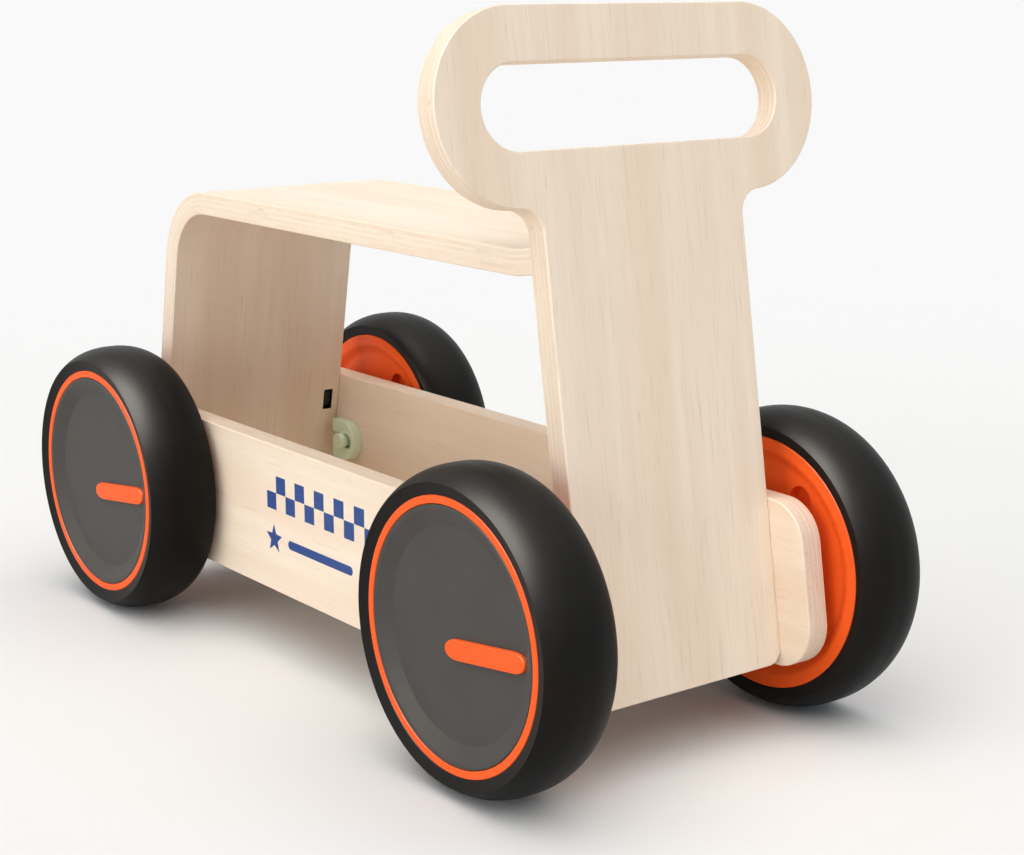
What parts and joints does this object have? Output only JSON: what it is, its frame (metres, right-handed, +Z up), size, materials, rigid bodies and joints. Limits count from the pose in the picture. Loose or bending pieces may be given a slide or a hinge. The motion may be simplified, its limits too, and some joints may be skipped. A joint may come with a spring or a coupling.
{
  "type": "wooden ride-on toy car",
  "caption": "Plywood ride-on toy car with a seat bent from one sheet over an open hold, a leaning panel with a pill-shaped hand grip, and free-rolling moulded wheels.",
  "frame": {"origin": "on the ground, below the middle of the car", "axes": "+Z up, -Y towards the handle end, which is the front, +X to the rider's left"},
  "size_m": [0.2454, 0.524, 0.3672],
  "materials": {
    "birch_plywood": "clear matt lacquer",
    "beech": "raw",
    "black_rubber": "matte",
    "orange_plastic": "satin",
    "grey_plastic": "satin",
    "sage_plastic": "satin",
    "zinc": "zinc plated",
    "black_steel": "blackened"
  },
  "bodies": {
    "frame": {"side_board_right": "birch_plywood", "side_board_left": "birch_plywood", "floor_panel": "birch_plywood", "bent_seat": "birch_plywood", "handle_panel": "birch_plywood", "seat_dowel_right": "beech", "seat_dowel_left": "beech", "panel_bolt_right_upper": "zinc", "panel_bolt_right_lower": "zinc", "panel_bolt_left_upper": "zinc", "panel_bolt_left_lower": "zinc", "panel_nut_right_upper": "black_steel", "panel_nut_right_lower": "black_steel", "panel_nut_left_upper": "black_steel", "panel_nut_left_lower": "black_steel", "leg_bolt_right_upper": "zinc", "leg_bolt_right_lower": "zinc", "leg_bolt_left_upper": "zinc", "leg_bolt_left_lower": "zinc", "leg_nut_right_upper": "black_steel", "leg_nut_right_lower": "black_steel", "leg_nut_left_upper": "black_steel", "leg_nut_left_lower": "black_steel", "front_right_axle_pin": "sage_plastic", "front_right_axle_washer": "zinc", "front_right_axle_clip": "sage_plastic", "front_left_axle_pin": "sage_plastic", "front_left_axle_washer": "zinc", "front_left_axle_clip": "sage_plastic", "rear_right_axle_pin": "sage_plastic", "rear_right_axle_washer": "zinc", "rear_right_axle_clip": "sage_plastic", "rear_left_axle_pin": "sage_plastic", "rear_left_axle_washer": "zinc", "rear_left_axle_clip": "sage_plastic"},
    "front_right_wheel": {"front_right_tyre": "black_rubber", "front_right_rim": "orange_plastic", "front_right_hub_cap": "grey_plastic", "front_right_badge": "orange_plastic"},
    "front_left_wheel": {"front_left_tyre": "black_rubber", "front_left_rim": "orange_plastic", "front_left_hub_cap": "grey_plastic", "front_left_badge": "orange_plastic"},
    "rear_right_wheel": {"rear_right_tyre": "black_rubber", "rear_right_rim": "orange_plastic", "rear_right_hub_cap": "grey_plastic", "rear_right_badge": "orange_plastic"},
    "rear_left_wheel": {"rear_left_tyre": "black_rubber", "rear_left_rim": "orange_plastic", "rear_left_hub_cap": "grey_plastic", "rear_left_badge": "orange_plastic"}
  },
  "joints": [
    {"name": "front_right_spin", "type": "hinge", "parent": "frame", "child": "front_right_wheel", "pos_m": [-0.1007, -0.182, 0.08], "axis": [1, 0, 0], "continuous": true},
    {"name": "front_left_spin", "type": "hinge", "parent": "frame", "child": "front_left_wheel", "pos_m": [0.1007, -0.182, 0.08], "axis": [1, 0, 0], "continuous": true},
    {"name": "rear_right_spin", "type": "hinge", "parent": "frame", "child": "rear_right_wheel", "pos_m": [-0.1007, 0.182, 0.08], "axis": [1, 0, 0], "continuous": true},
    {"name": "rear_left_spin", "type": "hinge", "parent": "frame", "child": "rear_left_wheel", "pos_m": [0.1007, 0.182, 0.08], "axis": [1, 0, 0], "continuous": true}
  ]
}
